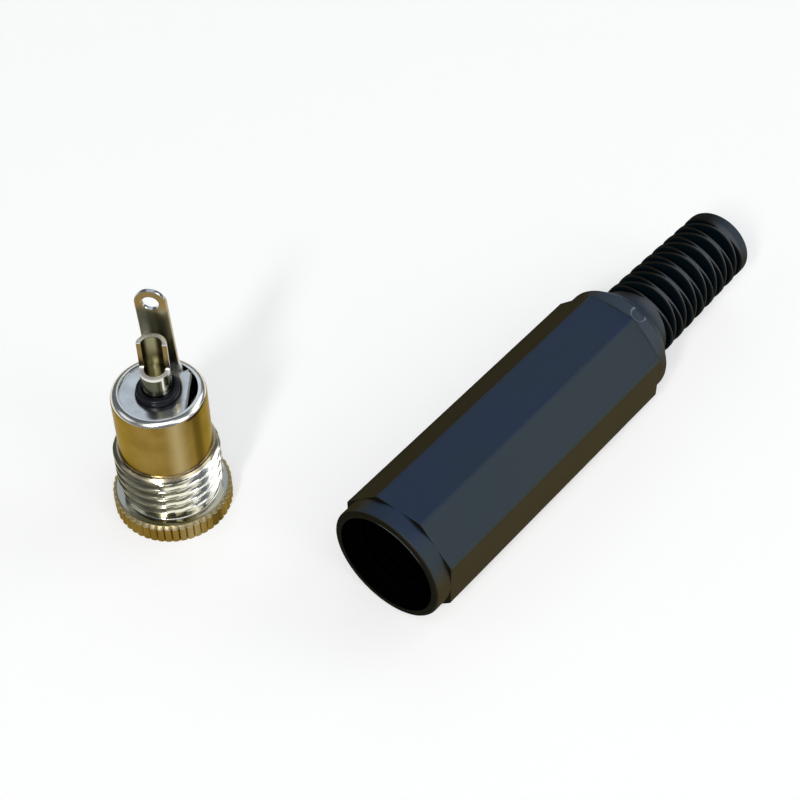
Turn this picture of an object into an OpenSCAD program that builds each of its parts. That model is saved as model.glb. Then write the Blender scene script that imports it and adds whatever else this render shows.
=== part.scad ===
// In-line dc power socket with its screw-on handle taken off and laid beside it.
// The socket stands on its front flange, terminals up; the handle lies on one flat.
// Millimetres. Origin: socket axis at the front face. +Z along that axis to the
// terminals, +Y along the handle from its mouth to its tail.

/* [Barrel] */
// Diameter over the knurl of the front flange
flange_d = 10.14; // [9.6:0.02:12]
// Thickness of the front flange
flange_h = 1.9; // [1.4:0.1:3]
// Chamfer on the rear edge of the flange
flange_chamfer = 0.25; // [0.1:0.05:0.4]
// Chamfer on the front edge of the flange
base_chamfer = 0.08; // [0.04:0.02:0.3]
// Number of teeth in the straight knurl
knurl_teeth = 48; // [36:1:60]
// Depth of the knurl's grooves
knurl_depth = 0.16; // [0.08:0.02:0.3]
// Flat part of each tooth, as a part of the knurl's pitch
knurl_flat = 0.42; // [0.3:0.02:0.6]
// Width of the relief groove behind the flange
groove_w = 0.8; // [0.5:0.1:1.5]
// Diameter at the bottom of the relief groove
groove_d = 8.1; // [7.6:0.1:8.6]
// Outside diameter of the thread
thread_d = 8.96; // [8.7:0.02:9.4]
// Length of the threaded stretch
thread_len = 4.6; // [3:0.1:8]
// Lead-in chamfer at the rear of the thread
thread_chamfer = 0.35; // [0.1:0.05:0.5]
// Diameter of the smooth barrel behind the thread
neck_d = 7.88; // [7.6:0.02:8]
// Length of the smooth barrel, up to the crimped edge
neck_len = 5.7; // [5:0.05:9]
// Height and radius of the edge that is rolled over the contact ring
crimp_h = 0.75; // [0.72:0.01:0.85]
// Thickness of the rolled edge at its lip
lip_h = 0.2; // [0.1:0.05:0.3]
// Overlap of the lip on the contact ring
lip_overlap = 0.18; // [0.1:0.02:0.3]
// Wall of the barrel around the insulator
rear_wall = 0.49; // [0.4:0.01:0.6]

/* [Plug entry] */
// Diameter of the hole that takes the plug
entry_d = 6; // [5.7:0.05:6.2]
// Length of that hole
entry_len = 1.4; // [1:0.1:2]
// Lead-in chamfer at the front of the hole
entry_chamfer = 0.3; // [0.1:0.05:0.5]
// Diameter of the wider chamber behind the hole
chamber_d = 6.4; // [6.3:0.02:6.6]
// Outside diameter of the plug that fits
plug_d = 5.5; // [5.4:0.05:5.6]

/* [Insulator] */
// Thickness of the insulator's flange
insulator_h = 2.15; // [1.5:0.05:3]
// Diameter of the collar that stands up through the contact ring
collar_d = 3.58; // [3.4:0.02:4]
// Height of the collar above the contact ring
collar_rise = 0.6; // [0.2:0.05:1]
// Rounding of the collar's top edges
collar_round = 0.25; // [0.1:0.05:0.3]
// Radial clearance between pieces that are pressed together
press_gap = 0.03; // [0.01:0.01:0.05]
// Clearance around the contact piece in its notch and hole
contact_gap = 0.08; // [0.05:0.01:0.15]

/* [Contact piece] */
// Thickness of the stamped sheet
sheet_t = 0.35; // [0.25:0.05:0.4]
// Distance from the axis to the straight edge where the leaf turns down
leaf_edge = 2.65; // [2.55:0.01:2.7]
// Width of the leaf
leaf_w = 1.6; // [1.2:0.1:1.8]
// Height over which the wide fold narrows to the leaf
leaf_taper = 1; // [0.5:0.1:1.5]
// Gap between the leaf's back and the chamber wall
leaf_gap = 0.1; // [0.05:0.05:0.2]
// How far the leaf's bend reaches into the path of the plug
leaf_bite = 0.2; // [0.1:0.05:0.3]
// Distance from the insulator to where the leaf meets the chamber wall
leaf_back = 1.5; // [1:0.1:2]
// Distance from there to the contact point
leaf_reach = 4.4; // [3:0.1:5]
// Length of the flared tip
leaf_tip = 1.3; // [0.8:0.1:1.6]
// Inside radius of the bends
bend_r = 0.05; // [0.05:0.05:0.2]
// Slit on each side of the lug's foot
slit_w = 0.1; // [0.05:0.05:0.2]
// Width of the solder lug
lug_w = 2.6; // [2:0.1:2.8]
// Height of the lug above the contact ring
lug_h = 8.95; // [6:0.05:12]
// Distance from the axis to the lug's outer face
lug_out = 2.72; // [2.6:0.01:2.75]
// Sideways lean of the lug in degrees
lug_lean = 2.5; // [0:0.5:5]
// Turn of the lug out of square with the leaf in degrees
lug_turn = 5; // [0:0.5:8]
// Diameter of the hole in the lug
lug_hole_d = 1.4; // [1:0.1:1.6]
// Height of the flare at the lug's foot, above the contact ring
flare_h = 1.3; // [0.8:0.1:1.4]
// Turn of the contact piece about the socket's axis
contact_turn = 37.6; // [0:0.1:360]

/* [Centre pin] */
// Diameter of the contact pin
pin_d = 2.1; // [1.6:0.1:2.5]
// Distance from the end of the plug hole to the pin's tip
pin_recess = 0.2; // [0.1:0.1:1]
// Rounding of the pin's tip
tip_round = 0.7; // [0.2:0.1:0.75]
// Diameter of the shoulder in front of the insulator
shoulder_d = 3.2; // [2.9:0.1:3.6]
// Thickness of that shoulder
shoulder_h = 0.6; // [0.4:0.1:1]
// Diameter of the pin's rear end
tail_d = 2.5; // [2.2:0.05:2.7]
// Height of the solder cup's edge above the insulator
cup_rise = 4.88; // [3.5:0.02:7]
// Diameter of the solder cup's hole
cup_d = 1.7; // [1.2:0.1:1.9]
// Depth of that hole
cup_depth = 3.23; // [2:0.01:4]
// Length of the opening milled in the cup's side
scoop_len = 2.83; // [1.8:0.01:3.4]
// Radius of the mill at the foot of that opening
scoop_r = 0.12; // [0.06:0.02:0.6]
// Place of the flat that the mill leaves, in front of the axis (behind it if less than 0)
scoop_flat = -0.06; // [-0.3:0.02:0.3]

/* [Handle] */
// Size across the flats of the eight-sided body
across_flats = 10.8; // [10.4:0.1:13]
// Length of the eight-sided body
body_len = 28.95; // [24:0.05:40]
// Length of the round collar at the mouth
mouth_len = 1.65; // [1:0.05:3]
// Length of the round collar behind the body
rear_len = 1.5; // [1:0.1:3]
// Step from the flats down to the mouth collar
mouth_step = 0.02; // [0.02:0.01:0.1]
// Step from the flats down to the rear collar
rear_step = 0.1; // [0.05:0.05:0.4]
// Step from the rear collar down to the rounded shoulder
shoulder_step = 0.45; // [0.1:0.05:0.6]
// Rounding of the rear collar's edge
collar_edge = 0.25; // [0.1:0.05:0.4]
// Rounding of the edges at the mouth and tail
edge_round = 0.3; // [0.1:0.05:0.5]
// Depth of the thread that the handle cuts into the barrel's thread
thread_bite = 0.43; // [0.3:0.01:0.45]
// Length of the threaded bore in the handle
bore_len = 5.8; // [4:0.1:8]
// Depth of the plain counterbore ahead of the thread
counterbore_len = 1.2; // [0.8:0.1:2]
// Radial clearance between the counterbore and the thread
counterbore_gap = 0.2; // [0.04:0.01:0.25]
// Diameter of the space for the wires
wire_d = 8.6; // [8.2:0.1:9]
// Length of the taper from that space to the cable hole
taper_len = 3.4; // [2:0.1:5]
// Distance from the end of that taper to the end of the rear collar
end_wall = 1.55; // [0:0.05:3]
// Diameter of the cable hole
cable_d = 4.2; // [3.4:0.1:4.6]
// Diameter of the moulding mark on the rear collar
gate_d = 1.5; // [1:0.1:2]
// Depth of the moulding mark
gate_depth = 0.2; // [0.1:0.05:0.3]
// Distance from the moulding mark's middle to the end of the rear collar
gate_back = 0.45; // [0.2:0.05:0.8]

/* [Strain relief] */
// Diameter at the root of the strain relief
relief_root_d = 7.5; // [7:0.1:8]
// Diameter at the tail
relief_tail_d = 6.7; // [6:0.02:7]
// Length of the strain relief behind the shoulder
relief_len = 15.02; // [13:0.02:20]
// Distance between two slots in one column
slot_pitch = 1.7; // [1.6:0.05:2]
// Distance from the shoulder to the first row
slot_first = 1.5; // [0.8:0.05:1.8]
// Width of a slot at its middle
slot_w = 1.22; // [1:0.02:1.3]
// Shortest length without slots at the tail
tail_ring = 0.95; // [0.7:0.05:1.5]
// Angle from a slot's middle to its pointed ends
slot_end = 77; // [70:1:80]
// Draft of a slot's walls, in millimetres for each millimetre of depth
slot_draft = 0.1; // [0:0.01:0.12]
// Wall left between the slots and the cable hole
slot_skin = 0.35; // [0.25:0.05:0.5]
// Distance from the axis to the ends of the slots
slot_floor = 0.6; // [0.4:0.05:0.7]

/* [Layout] */
// Clear space between the flange and the handle
apart_x = 10.99; // [6:0.01:30]
// Place of the handle's mouth along its own axis
mouth_y = 2.88; // [-20:0.01:20]

/* [Hidden] */
$fn = 96;
eps = 0.01;
over = 1;
bend_steps = 6;

thread_z = flange_h + groove_w;
neck_z = thread_z + thread_len;
crimp_z = neck_z + neck_len;
barrel_top = crimp_z + crimp_h;
ring_top = barrel_top - lip_h;
ring_z = ring_top - sheet_t;
seat_z = ring_z - insulator_h;
rear_r = neck_d / 2 - rear_wall;
ring_r = rear_r - press_gap;
lip_r = ring_r - lip_overlap;
insulator_r = rear_r - press_gap;
collar_top = ring_top + collar_rise;
ring_hole_r = collar_d / 2 + contact_gap;

leaf_back_x = sqrt(pow(chamber_d / 2 - leaf_gap, 2) - pow(leaf_w / 2, 2));
leaf_bend_x = plug_d / 2 - leaf_bite + sheet_t;
leaf_back_z = seat_z - leaf_back;
leaf_bend_z = leaf_back_z - leaf_reach;
bend_out = bend_r + sheet_t;
fold_x = leaf_edge - bend_out;
fold_half = sqrt(ring_r * ring_r - leaf_edge * leaf_edge);
notch_x = fold_x - contact_gap;
foot_half = sqrt(pow(lip_r - contact_gap, 2) - pow(lug_out, 2));
flare_w = foot_half - lug_w / 2;
flare_r = (flare_w * flare_w + flare_h * flare_h) / (2 * flare_w);

pin_tip_z = entry_len + pin_recess;
shoulder_z = seat_z - shoulder_h;
cup_top = collar_top + cup_rise;
scoop_z = cup_top - scoop_len;

flat_r = across_flats / 2;
body_sides = 8;
corner_a = 180 / body_sides;
corner_r = flat_r / cos(corner_a);
mouth_r = flat_r - mouth_step;
rear_collar_r = flat_r - rear_step;
dome_r = rear_collar_r - shoulder_step;
relief_root_r = relief_root_d / 2;
relief_tail_r = relief_tail_d / 2;
dome_round = dome_r - relief_root_r;
body_end = mouth_len + body_len;
rear_end = body_end + rear_len;
relief_z = rear_end + dome_round;
handle_end = relief_z + relief_len;
bore_r = thread_d / 2 - thread_bite;
bore_end = counterbore_len + bore_len;
taper_end = rear_end - end_wall;
wire_end = taper_end - taper_len;
gate_z = rear_end - gate_back;
slot_outer = relief_root_r + over;
slot_room = relief_len - slot_first - slot_w / 2 - tail_ring;
slot_rows = floor(2 * slot_room / slot_pitch) + 1;

// Square corner less a quarter round, at the top right of a profile
module corner_cut(x, y, r) {
    translate([x - r, y - r])
        difference() {
            square(r + over);
            circle(r);
        }
}

// The same at the bottom right of a profile
module foot_cut(x, y, r) {
    translate([0, 2 * y])
        mirror([0, 1])
            corner_cut(x, y, r);
}

// Knurl outline: flat-topped teeth with V grooves between them
function knurl_points(r, depth, teeth) = [
    for (i = [0 : teeth - 1], k = [0 : 2])
        let (a = (i + [0, knurl_flat, (1 + knurl_flat) / 2][k]) * 360 / teeth,
             d = r - (k == 2 ? depth : 0))
        d * [cos(a), sin(a)]
];

// Points of a quarter bend about a centre, from one angle to another
function bend_points(x, y, r, a0, a1) = [
    for (i = [0 : bend_steps])
        let (a = a0 + (a1 - a0) * i / bend_steps)
        [x + r * cos(a), y + r * sin(a)]
];

function backwards(list) = [for (i = [len(list) - 1 : -1 : 0]) list[i]];

module flange() {
    r = flange_d / 2;
    intersection() {
        linear_extrude(flange_h)
            polygon(knurl_points(r, knurl_depth, knurl_teeth));
        rotate_extrude()
            polygon([
                [0, 0], [r - base_chamfer, 0], [r, base_chamfer],
                [r, flange_h - flange_chamfer], [r - flange_chamfer, flange_h], [0, flange_h]
            ]);
    }
}

module barrel_outside() {
    groove_r = groove_d / 2;
    thread_r = thread_d / 2;
    rotate_extrude() {
        polygon([
            [0, 0], [groove_r, 0], [groove_r, thread_z], [thread_r, thread_z + thread_r - groove_r],
            [thread_r, neck_z - thread_chamfer], [thread_r - thread_chamfer, neck_z], [0, neck_z]
        ]);
        difference() {
            square([neck_d / 2, barrel_top]);
            corner_cut(neck_d / 2, barrel_top, crimp_h);
        }
    }
}

module barrel() {
    entry_r = entry_d / 2;
    color("goldenrod")
        difference() {
            union() {
                flange();
                barrel_outside();
            }
            translate([0, 0, -over]) cylinder(r = entry_r, h = entry_len + 2 * over);
            translate([0, 0, -eps])
                cylinder(r1 = entry_r + entry_chamfer + eps, r2 = entry_r, h = entry_chamfer + eps);
            translate([0, 0, entry_len]) cylinder(d = chamber_d, h = seat_z - entry_len + eps);
            translate([0, 0, seat_z]) cylinder(r = rear_r, h = ring_top - seat_z);
            translate([0, 0, ring_top - eps]) cylinder(r = lip_r, h = lip_h + over);
        }
}

// Ring of the contact piece, cut straight at the fold and behind the lug
module contact_ring() {
    lug_cut = 2 * (foot_half + slit_w);
    cut_h = sheet_t + 2 * over;
    translate([0, 0, ring_z])
        difference() {
            cylinder(r = ring_r, h = sheet_t);
            translate([0, 0, -over]) {
                cylinder(r = ring_hole_r, h = cut_h);
                translate([fold_x, -ring_r, 0]) cube([ring_r, 2 * ring_r, cut_h]);
                rotate([0, 0, -lug_turn])
                    translate([-lug_cut / 2, lug_out - bend_out, 0]) cube([lug_cut, ring_r, cut_h]);
            }
        }
}

// Outline of the leaf, from the wide fold at the ring to its narrow tip
module leaf_outline() {
    half = leaf_w / 2;
    tip_z = leaf_bend_z - leaf_tip - over;
    polygon([
        [-fold_half, ring_top], [-fold_half, seat_z + leaf_taper], [-half, seat_z], [-half, tip_z],
        [half, tip_z], [half, seat_z], [fold_half, seat_z + leaf_taper], [fold_half, ring_top]
    ]);
}

// Leaf spring: turns down at the ring, leans out to the wall, bends in to meet the plug
module contact_leaf() {
    z0 = ring_top - bend_out;
    down = [
        [leaf_edge, seat_z],
        [leaf_back_x, leaf_back_z],
        [leaf_bend_x, leaf_bend_z],
        [leaf_back_x, leaf_bend_z - leaf_tip]
    ];
    outside = concat(bend_points(fold_x, z0, bend_out, 90, 0), down);
    inside = concat(bend_points(fold_x, z0, bend_r, 90, 0), [for (p = down) p - [sheet_t, 0]]);
    intersection() {
        translate([0, fold_half, 0])
            rotate([90, 0, 0])
                linear_extrude(2 * fold_half)
                    polygon(concat(outside, backwards(inside)));
        rotate([90, 0, 90])
            linear_extrude(ring_r)
                leaf_outline();
    }
}

// Outline of the solder lug from its flared foot to its round end, seen from the axis
module lug_outline() {
    stem = lug_h - lug_w / 2;
    translate([0, ring_top])
        rotate(lug_lean) {
            translate([-lug_w / 2, -bend_out]) square([lug_w, stem + bend_out]);
            translate([0, stem]) circle(d = lug_w);
        }
    for (side = [0, 1])
        mirror([side, 0])
            difference() {
                translate([0, ring_z]) square([foot_half, flare_h + sheet_t]);
                translate([lug_w / 2 + flare_r, ring_top + flare_h]) circle(flare_r);
            }
}

module contact_lug() {
    y0 = lug_out - bend_out;
    z0 = ring_z + bend_out;
    top = ring_top + lug_h;
    outside = concat(bend_points(y0, z0, bend_out, -90, 0), [[lug_out, top]]);
    inside = concat(bend_points(y0, z0, bend_r, -90, 0), [[lug_out - sheet_t, top]]);
    difference() {
        intersection() {
            rotate([90, 0, 90])
                translate([0, 0, -ring_r])
                    linear_extrude(2 * ring_r)
                        polygon(concat(outside, backwards(inside)));
            translate([0, ring_r, 0])
                rotate([90, 0, 0])
                    linear_extrude(ring_r)
                        lug_outline();
        }
        translate([0, ring_r, ring_top])
            rotate([90, -lug_lean, 0])
                translate([0, lug_h - lug_w / 2, 0])
                    cylinder(d = lug_hole_d, h = ring_r);
    }
}

module ground_contact() {
    color("silver")
        rotate([0, 0, contact_turn]) {
            contact_ring();
            contact_leaf();
            rotate([0, 0, -lug_turn]) contact_lug();
        }
}

module insulator() {
    color("#1c1c22")
        rotate([0, 0, contact_turn])
            difference() {
                union() {
                    translate([0, 0, seat_z]) cylinder(r = insulator_r, h = insulator_h);
                    rotate_extrude()
                        difference() {
                            translate([0, seat_z]) square([collar_d / 2, collar_top - seat_z]);
                            corner_cut(collar_d / 2, collar_top, collar_round);
                        }
                }
                translate([0, 0, seat_z - over])
                    cylinder(r = tail_d / 2 + press_gap, h = collar_top - seat_z + 2 * over);
                translate([notch_x, -insulator_r, seat_z - over])
                    cube([insulator_r, 2 * insulator_r, insulator_h + 2 * over]);
            }
}

// Side view of the mill's path: straight down, then a round foot
module scoop_outline() {
    mirror([1, 0]) {
        translate([scoop_flat + scoop_r, scoop_z + scoop_r]) circle(scoop_r);
        translate([scoop_flat, scoop_z + scoop_r]) square([tail_d, scoop_len]);
        translate([scoop_flat + scoop_r, scoop_z]) square([tail_d, scoop_len]);
    }
}

module centre_pin() {
    pin_r = pin_d / 2;
    color("lightgray")
        rotate([0, 0, contact_turn])
            difference() {
                union() {
                    rotate_extrude()
                        difference() {
                            translate([0, pin_tip_z]) square([pin_r, shoulder_z - pin_tip_z + eps]);
                            foot_cut(pin_r, pin_tip_z, tip_round);
                        }
                    translate([0, 0, shoulder_z]) cylinder(d = shoulder_d, h = shoulder_h);
                    translate([0, 0, shoulder_z]) cylinder(d = tail_d, h = cup_top - shoulder_z);
                }
                translate([0, 0, cup_top - cup_depth]) cylinder(d = cup_d, h = cup_depth + over);
                rotate([0, 0, -lug_turn])
                    translate([-tail_d, 0, 0])
                        rotate([90, 0, 90])
                            linear_extrude(2 * tail_d)
                                scoop_outline();
            }
}

// Solid form of the handle along +Z, mouth at the bottom
module handle_outside() {
    rotate_extrude()
        difference() {
            square([mouth_r, mouth_len + over]);
            foot_cut(mouth_r, 0, edge_round);
        }
    translate([0, 0, mouth_len])
        rotate([0, 0, corner_a])
            cylinder(r = corner_r, h = body_len, $fn = body_sides);
    rotate_extrude()
        difference() {
            union() {
                translate([0, body_end - over]) square([rear_collar_r, rear_len + over]);
                translate([0, rear_end - over]) square([dome_r, relief_z - rear_end + over]);
            }
            corner_cut(rear_collar_r, rear_end, collar_edge);
            corner_cut(dome_r, relief_z, dome_round);
        }
    rotate_extrude()
        difference() {
            polygon([
                [0, relief_z - over], [relief_root_r, relief_z - over],
                [relief_root_r, relief_z], [relief_tail_r, handle_end], [0, handle_end]
            ]);
            corner_cut(relief_tail_r, handle_end, edge_round);
        }
}

module handle_bore() {
    front_r = thread_d / 2 + counterbore_gap;
    wire_r = wire_d / 2;
    cable_r = cable_d / 2;
    rotate_extrude()
        polygon([
            [0, -over], [front_r, -over], [front_r, counterbore_len], [bore_r, counterbore_len],
            [bore_r, bore_end], [wire_r, bore_end], [wire_r, wire_end],
            [cable_r, taper_end], [cable_r, handle_end + over], [0, handle_end + over]
        ]);
}

// Radius of the strain relief at a distance from the shoulder
function relief_r(s) = relief_root_r + (relief_tail_r - relief_root_r) * s / relief_len;

// One slot in a strain relief of radius r, cut from the side towards -Y down to the wall of
// the cable hole; two cones meet in a lens that narrows with depth
module relief_slot(r) {
    half = slot_w / 2;
    reach = r * sin(slot_end);
    drop = slot_draft * r * (1 - cos(slot_end));
    arc_r = (reach * reach + half * half - drop * drop) / (2 * (half - drop));
    foot_r = arc_r - slot_draft * (r - slot_floor);
    top_r = arc_r + slot_draft * (slot_outer - r);
    difference() {
        rotate([90, 0, 0])
            translate([0, 0, slot_floor])
                intersection_for (side = [-1, 1])
                    translate([0, side * (arc_r - half), 0])
                        cylinder(r1 = foot_r, r2 = top_r, h = slot_outer - slot_floor);
        translate([0, 0, -slot_w]) cylinder(r = cable_d / 2 + slot_skin, h = 2 * slot_w);
    }
}

module handle() {
    color("#22262e")
        translate([flange_d / 2 + apart_x + flat_r, mouth_y, flat_r])
            rotate([-90, 0, 0])
                difference() {
                    handle_outside();
                    handle_bore();
                    for (row = [0 : slot_rows - 1], side = [0, 180])
                        let (s = slot_first + row * slot_pitch / 2)
                            translate([0, 0, relief_z + s])
                                rotate([0, 0, corner_a + side + (row % 2 == 0 ? 90 : 0)])
                                    relief_slot(relief_r(s));
                    translate([0, 0, gate_z])
                        rotate([0, 0, corner_a])
                            rotate([90, 0, 0])
                                translate([0, 0, rear_collar_r - gate_depth])
                                    cylinder(d = gate_d, h = over);
                }
}

barrel();
ground_contact();
insulator();
centre_pin();
handle();
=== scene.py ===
import bmesh
import bpy
import math
import numpy as np
from mathutils import Matrix, Vector


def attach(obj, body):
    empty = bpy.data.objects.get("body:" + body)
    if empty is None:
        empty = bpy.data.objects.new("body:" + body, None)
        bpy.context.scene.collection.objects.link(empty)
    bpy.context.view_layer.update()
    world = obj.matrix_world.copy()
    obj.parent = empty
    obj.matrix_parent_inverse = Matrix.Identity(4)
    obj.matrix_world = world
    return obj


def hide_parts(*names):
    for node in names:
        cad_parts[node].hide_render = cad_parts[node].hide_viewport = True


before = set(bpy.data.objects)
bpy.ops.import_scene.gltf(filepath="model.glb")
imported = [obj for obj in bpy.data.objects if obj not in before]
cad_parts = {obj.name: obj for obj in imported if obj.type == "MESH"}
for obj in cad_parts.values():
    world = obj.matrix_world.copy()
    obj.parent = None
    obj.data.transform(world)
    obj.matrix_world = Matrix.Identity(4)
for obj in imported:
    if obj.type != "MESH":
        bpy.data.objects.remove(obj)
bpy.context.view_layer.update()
mm = 0.001
print("frame loaded:", sorted(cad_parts))


class Wire:  # a socket in a node tree; plain operators on it add Math nodes
    def __init__(self, tree, socket):
        self.tree = tree
        self.socket = socket

    def math(self, operation, *others):
        values = dict(enumerate((self,) + others))
        return addNode(self.tree, "ShaderNodeMath", {"operation": operation}, values)

    def swapped(self, operation, first):
        return addNode(self.tree, "ShaderNodeMath", {"operation": operation}, {0: first, 1: self})

    def __add__(self, other):
        return self.math("ADD", other)

    def __radd__(self, other):
        return self.swapped("ADD", other)

    def __sub__(self, other):
        return self.math("SUBTRACT", other)

    def __rsub__(self, other):
        return self.swapped("SUBTRACT", other)

    def __mul__(self, other):
        return self.math("MULTIPLY", other)

    def __rmul__(self, other):
        return self.swapped("MULTIPLY", other)

    def __truediv__(self, other):
        return self.math("DIVIDE", other)

    def __rtruediv__(self, other):
        return self.swapped("DIVIDE", other)

    def __pow__(self, other):
        return self.math("POWER", other)


def addNode(tree, kind, settings=None, values=None, out=0):
    # the settings come first, then each socket's value or link
    node = tree.nodes.new(kind)
    for name, value in (settings or {}).items():
        if name == "stops":  # a ramp's places and colours
            ramp = node.color_ramp.elements
            while len(ramp) < len(value):
                ramp.new(1.0)
            for stop, (position, colour) in zip(ramp, value):
                stop.position = position
                stop.color = solid(colour)
        else:
            setattr(node, name, value)
    for name, value in (values or {}).items():
        if isinstance(value, Wire):
            tree.links.new(value.socket, node.inputs[name])
        else:
            node.inputs[name].default_value = value
    return Wire(tree, node.outputs[out]) if node.outputs else None


def solid(colour):  # a plain colour gets its alpha, a link stays a link
    return colour if isinstance(colour, Wire) else (*colour, 1.0)


def step(wire, low, high):  # 0 below low, 1 above high, smooth between
    return addNode(wire.tree, "ShaderNodeMapRange", {"interpolation_type": "SMOOTHSTEP"},
                   {0: wire, 1: low, 2: high, 3: 0.0, 4: 1.0})


def band(wire, low, high, soft):  # 1 between low and high
    return step(wire, low - soft, low + soft) * (1 - step(wire, high - soft, high + soft))


def either(*masks):  # the strongest of the masks
    whole = masks[0]
    for mask in masks[1:]:
        whole = whole.math("MAXIMUM", mask)
    return whole


def mixColour(factor, first, second):
    pick = {"data_type": "RGBA", "clamp_factor": True}
    return addNode(factor.tree, "ShaderNodeMix", pick, {0: factor, 6: solid(first), 7: solid(second)}, 2)


def layered(colour, *layers):  # each layer is a mask and the tone that it lays over the colour
    for mask, tone in layers:
        colour = mixColour(mask, colour, tone)
    return colour


def newFinish(name):
    material = bpy.data.materials.new(name)
    material.use_nodes = True
    material.node_tree.nodes.clear()
    return material, material.node_tree


def spotOn(tree):  # object coordinates in millimetres
    spot = addNode(tree, "ShaderNodeTexCoord", out="Object")
    return addNode(tree, "ShaderNodeVectorMath", {"operation": "SCALE"}, {0: spot, "Scale": 1 / mm})


def facing(tree, kind):  # which way the surface looks
    return addNode(tree, "ShaderNodeNewGeometry", out=kind)


def split(vector):  # its x, y and z
    return [addNode(vector.tree, "ShaderNodeSeparateXYZ", None, {0: vector}, i) for i in range(3)]


def noise(spot, scale, detail=3.0, rough=0.55, stretch=None):
    if stretch:
        spot = addNode(spot.tree, "ShaderNodeMapping", None, {"Vector": spot, "Scale": stretch})
    return addNode(spot.tree, "ShaderNodeTexNoise", None,
                   {"Vector": spot, "Scale": scale, "Detail": detail, "Roughness": rough})


def bump(height, strength, depth=0.03):  # depth in millimetres
    return addNode(height.tree, "ShaderNodeBump", None,
                   {"Strength": strength, "Distance": depth * mm, "Height": height})


def closeFinish(tree, fixed, colour, rough, normal, dull=None, dullColour=None):
    # fixed numbers stay on the shader, links feed the rest; where dull is 1 the surface has no shine
    varied = {"Base Color": colour, "Roughness": rough, "Normal": normal}
    shader = addNode(tree, "ShaderNodeBsdfPrincipled", None, {**fixed, **varied})
    if dull is not None:
        plain = addNode(tree, "ShaderNodeBsdfPrincipled", None,
                        {"Base Color": dullColour, "Roughness": 0.8, "Specular IOR Level": 0.0})
        shader = addNode(tree, "ShaderNodeMixShader", None, {0: dull, 1: shader, 2: plain})
    addNode(tree, "ShaderNodeOutputMaterial", None, {"Surface": shader})


def take(piece, names):  # several of a piece's sizes
    return [piece[name] for name in names.split()]


# surfaces as grids of points
def gridFaces(rows, columns, wrapRows=False, wrapColumns=False):  # corner numbers of a grid's quads
    row = np.arange(rows if wrapRows else rows - 1)[:, None]
    column = np.arange(columns if wrapColumns else columns - 1)[None, :]
    nextRow, nextColumn = (row + 1) % rows, (column + 1) % columns
    corners = [row * columns + column, row * columns + nextColumn,
               nextRow * columns + nextColumn, nextRow * columns + column]
    return np.stack(np.broadcast_arrays(*corners), -1).reshape(-1, 4)


def meshPiece(name, points, faces):  # quads from whole arrays
    mesh = bpy.data.meshes.new(name)
    mesh.vertices.add(len(points))
    mesh.vertices.foreach_set("co", np.asarray(points, np.float32).ravel())
    mesh.loops.add(faces.size)
    mesh.loops.foreach_set("vertex_index", faces.astype(np.int32).ravel())
    mesh.polygons.add(len(faces))
    mesh.polygons.foreach_set("loop_start", np.arange(0, faces.size, 4, dtype=np.int32))
    mesh.update(calc_edges=True)
    mesh.validate()
    piece = bpy.data.objects.new(name, mesh)
    bpy.context.scene.collection.objects.link(piece)
    return piece


def gridPiece(name, grid, wrapRows=False, wrapColumns=False):
    rows, columns = grid.shape[:2]
    return meshPiece(name, grid.reshape(-1, 3), gridFaces(rows, columns, wrapRows, wrapColumns))


def spun(radius, height, angle):  # points at a radius, height and angle about Z, in metres
    radius, height, angle = np.broadcast_arrays(radius, height, angle)
    return np.stack([radius * np.cos(angle), radius * np.sin(angle), height], -1) * mm


def turned(points, degrees):  # turns points about Z
    angle = math.radians(degrees)
    x, y, z = np.moveaxis(points, -1, 0)
    cosine, sine = math.cos(angle), math.sin(angle)
    return np.stack([x * cosine - y * sine, x * sine + y * cosine, z], -1)


def ease(part):  # 0 to 1 with a soft start and end
    part = np.clip(part, 0, 1)
    return part * part * (3 - 2 * part)


def filletPath(corners, rounds, steps=5):
    # open path through corners in a plane; each inner corner becomes an arc tangent to both its sides
    corners = np.asarray(corners, float)
    path = [corners[:1]]
    for before, corner, after, radius in zip(corners[:-2], corners[1:-1], corners[2:], rounds):
        if radius <= 0:
            path.append(corner[None])
            continue
        back, ahead = before - corner, after - corner
        back, ahead = back / np.hypot(*back), ahead / np.hypot(*ahead)
        half = math.acos(np.clip(back @ ahead, -1, 1)) / 2
        middle = corner + (back + ahead) / np.hypot(*(back + ahead)) * radius / math.sin(half)
        start = corner + back * radius / math.tan(half) - middle
        end = corner + ahead * radius / math.tan(half) - middle
        part = np.linspace(0, 1, steps)[:, None]
        sweep = math.pi - 2 * half
        arc = (np.sin((1 - part) * sweep) * start + np.sin(part * sweep) * end) / math.sin(sweep)
        path.append(middle + arc)
    path.append(corners[-1:])
    return np.concatenate(path)


def mergePoints(piece, levelUp=False):  # joins points that lie within a fifth of a micrometre
    work = bmesh.new()
    work.from_mesh(piece.data)
    bmesh.ops.remove_doubles(work, verts=work.verts, dist=0.0002 * mm)
    if levelUp:  # one side out over the whole open surface, with its widest level face up
        bmesh.ops.recalc_face_normals(work, faces=work.faces)
        widest = max(work.faces, key=lambda face: abs(face.normal.z) * face.calc_area())
        if widest.normal.z < 0:
            bmesh.ops.reverse_faces(work, faces=work.faces)
    work.to_mesh(piece.data)
    work.free()


def shapeBy(piece, *modifiers):  # makes the shape that the modifiers give final
    for kind, settings in modifiers:
        modifier = piece.modifiers.new(kind, kind)
        for name, value in settings.items():
            setattr(modifier, name, value)
    bpy.context.view_layer.update()
    shape = piece.evaluated_get(bpy.context.evaluated_depsgraph_get())
    final = bpy.data.meshes.new_from_object(shape)
    piece.modifiers.clear()
    piece.data = final


def bevelled(width, degrees):  # a small round on edges that turn by more than an angle
    return "BEVEL", {"width": width * mm, "segments": 2, "limit_method": "ANGLE",
                     "angle_limit": math.radians(degrees)}


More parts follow.
